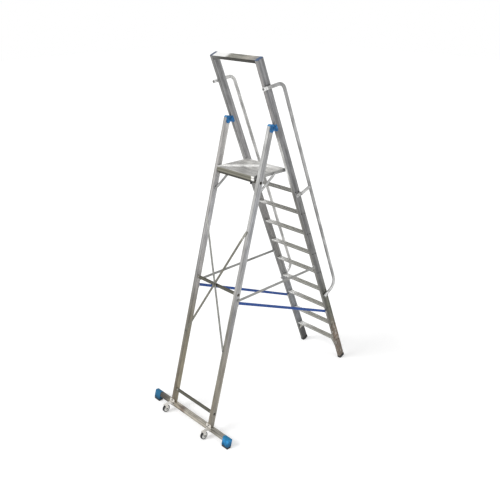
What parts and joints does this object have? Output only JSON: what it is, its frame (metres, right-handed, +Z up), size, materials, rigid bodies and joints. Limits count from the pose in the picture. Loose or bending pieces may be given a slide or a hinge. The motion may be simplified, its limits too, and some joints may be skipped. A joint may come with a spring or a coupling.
{
  "type": "platform step-ladder",
  "caption": "One-sided aluminium platform step-ladder with handrails, a hinged support frame, spreader bars and straps, a tipping platform, and rollers on a wide foot traverse.",
  "frame": {"origin": "on the ground, in the middle of the whole", "axes": "+Z up, X along the treads, -Y towards the climbing side, +Y towards the support frame"},
  "size_m": [1.112, 2.1376, 3.4027],
  "materials": {
    "stile_aluminium": "mill finish, drawn lengthwise",
    "step_aluminium": "ribbed, mill finish",
    "bar_aluminium": "mill finish",
    "tube_aluminium": "drawn tube",
    "brace_aluminium": "drawn flat",
    "deck_aluminium": "ribbed, brushed",
    "dark_aluminium": "dull",
    "blue_plastic": "moulded",
    "dark_plastic": "moulded",
    "black_plastic": "moulded",
    "rubber": "moulded",
    "tyre_rubber": "moulded",
    "webbing": "woven",
    "plated_steel": "zinc plated",
    "fastener_steel": "zinc plated"
  },
  "bodies": {
    "climb_frame": {"climb_stile_left": "stile_aluminium", "climb_stile_right": "stile_aluminium", "step_1": "step_aluminium", "step_2": "step_aluminium", "step_3": "step_aluminium", "step_4": "step_aluminium", "step_5": "step_aluminium", "step_6": "step_aluminium", "step_7": "step_aluminium", "step_8": "step_aluminium", "step_9": "step_aluminium", "step_rivets": "fastener_steel", "step_gussets": "bar_aluminium", "top_bar": "bar_aluminium", "top_caps": "dark_plastic", "climb_feet": "rubber", "handrail_left": "tube_aluminium", "handrail_right": "tube_aluminium", "handrail_brackets": "tube_aluminium", "handrail_bolts": "fastener_steel", "hinge_brackets": "blue_plastic", "hinge_pins": "fastener_steel", "platform_pins": "fastener_steel", "bar_tabs": "fastener_steel", "strap_clips_climb": "fastener_steel", "strap_left": "webbing", "strap_right": "webbing"},
    "platform": {"platform_deck": "deck_aluminium", "platform_front": "deck_aluminium", "platform_side_left": "dark_aluminium", "platform_side_right": "dark_aluminium", "platform_hooks": "deck_aluminium", "platform_knob": "black_plastic"},
    "strut_left": {"strut_left": "tube_aluminium"},
    "strut_right": {"strut_right": "tube_aluminium"},
    "bar_left": {"spread_bar_left": "brace_aluminium"},
    "bar_right": {"spread_bar_right": "brace_aluminium"},
    "roller_left": {"roller_wheel_left": "plated_steel", "roller_tyre_left": "tyre_rubber"},
    "roller_right": {"roller_wheel_right": "plated_steel", "roller_tyre_right": "tyre_rubber"},
    "support_frame": {"support_stile_left": "stile_aluminium", "support_stile_right": "stile_aluminium", "hinge_caps": "blue_plastic", "platform_tube": "tube_aluminium", "mid_tube": "tube_aluminium", "lower_tube": "tube_aluminium", "brace_front": "brace_aluminium", "brace_rear": "brace_aluminium", "support_bolts": "fastener_steel", "traverse": "bar_aluminium", "traverse_feet": "blue_plastic", "traverse_soles": "rubber", "traverse_brackets": "plated_steel", "roller_forks": "plated_steel", "roller_axles": "fastener_steel", "strap_clips_support": "fastener_steel", "strut_pins": "fastener_steel"}
  },
  "joints": [
    {"name": "fold", "type": "hinge", "parent": "climb_frame", "child": "support_frame", "pos_m": [0, 0.15229, 2.79989], "axis": [-1, 0, 0], "range_deg": [0, 37.01], "deforming": ["strap_left", "strap_right"]},
    {"name": "platform_tip", "type": "hinge", "parent": "climb_frame", "child": "platform", "pos_m": [0, -0.06368, 2.38], "axis": [1, 0, 0], "range_deg": [0, 68.01]},
    {"name": "strut_left", "type": "hinge", "parent": "support_frame", "child": "strut_left", "pos_m": [-0.25, 0.34652, 2.185], "axis": [-1, 0, 0], "range_deg": [0, 27.63]},
    {"name": "bar_left", "type": "hinge", "parent": "climb_frame", "child": "bar_left", "pos_m": [-0.2985, -0.46172, 1.296], "axis": [-1, 0, 0], "range_deg": [0, 111.01]},
    {"name": "roller_left", "type": "hinge", "parent": "support_frame", "child": "roller_left", "pos_m": [-0.289, 1.03078, 0.041], "axis": [1, 0, 0], "continuous": true},
    {"name": "strut_right", "type": "hinge", "parent": "support_frame", "child": "strut_right", "pos_m": [0.25, 0.34652, 2.185], "axis": [-1, 0, 0], "range_deg": [0, 27.63]},
    {"name": "bar_right", "type": "hinge", "parent": "climb_frame", "child": "bar_right", "pos_m": [0.2985, -0.46172, 1.296], "axis": [-1, 0, 0], "range_deg": [0, 111.01]},
    {"name": "roller_right", "type": "hinge", "parent": "support_frame", "child": "roller_right", "pos_m": [0.289, 1.03078, 0.041], "axis": [1, 0, 0], "continuous": true}
  ],
  "couplings": [
    {"joint": "platform_tip", "follows": "fold", "ratio": 1.8371},
    {"joint": "strut_left", "follows": "fold", "ratio": 0.7461},
    {"joint": "bar_left", "follows": "fold", "ratio": 2.9988},
    {"joint": "strut_right", "follows": "fold", "ratio": 0.7461},
    {"joint": "bar_right", "follows": "fold", "ratio": 2.9988}
  ]
}
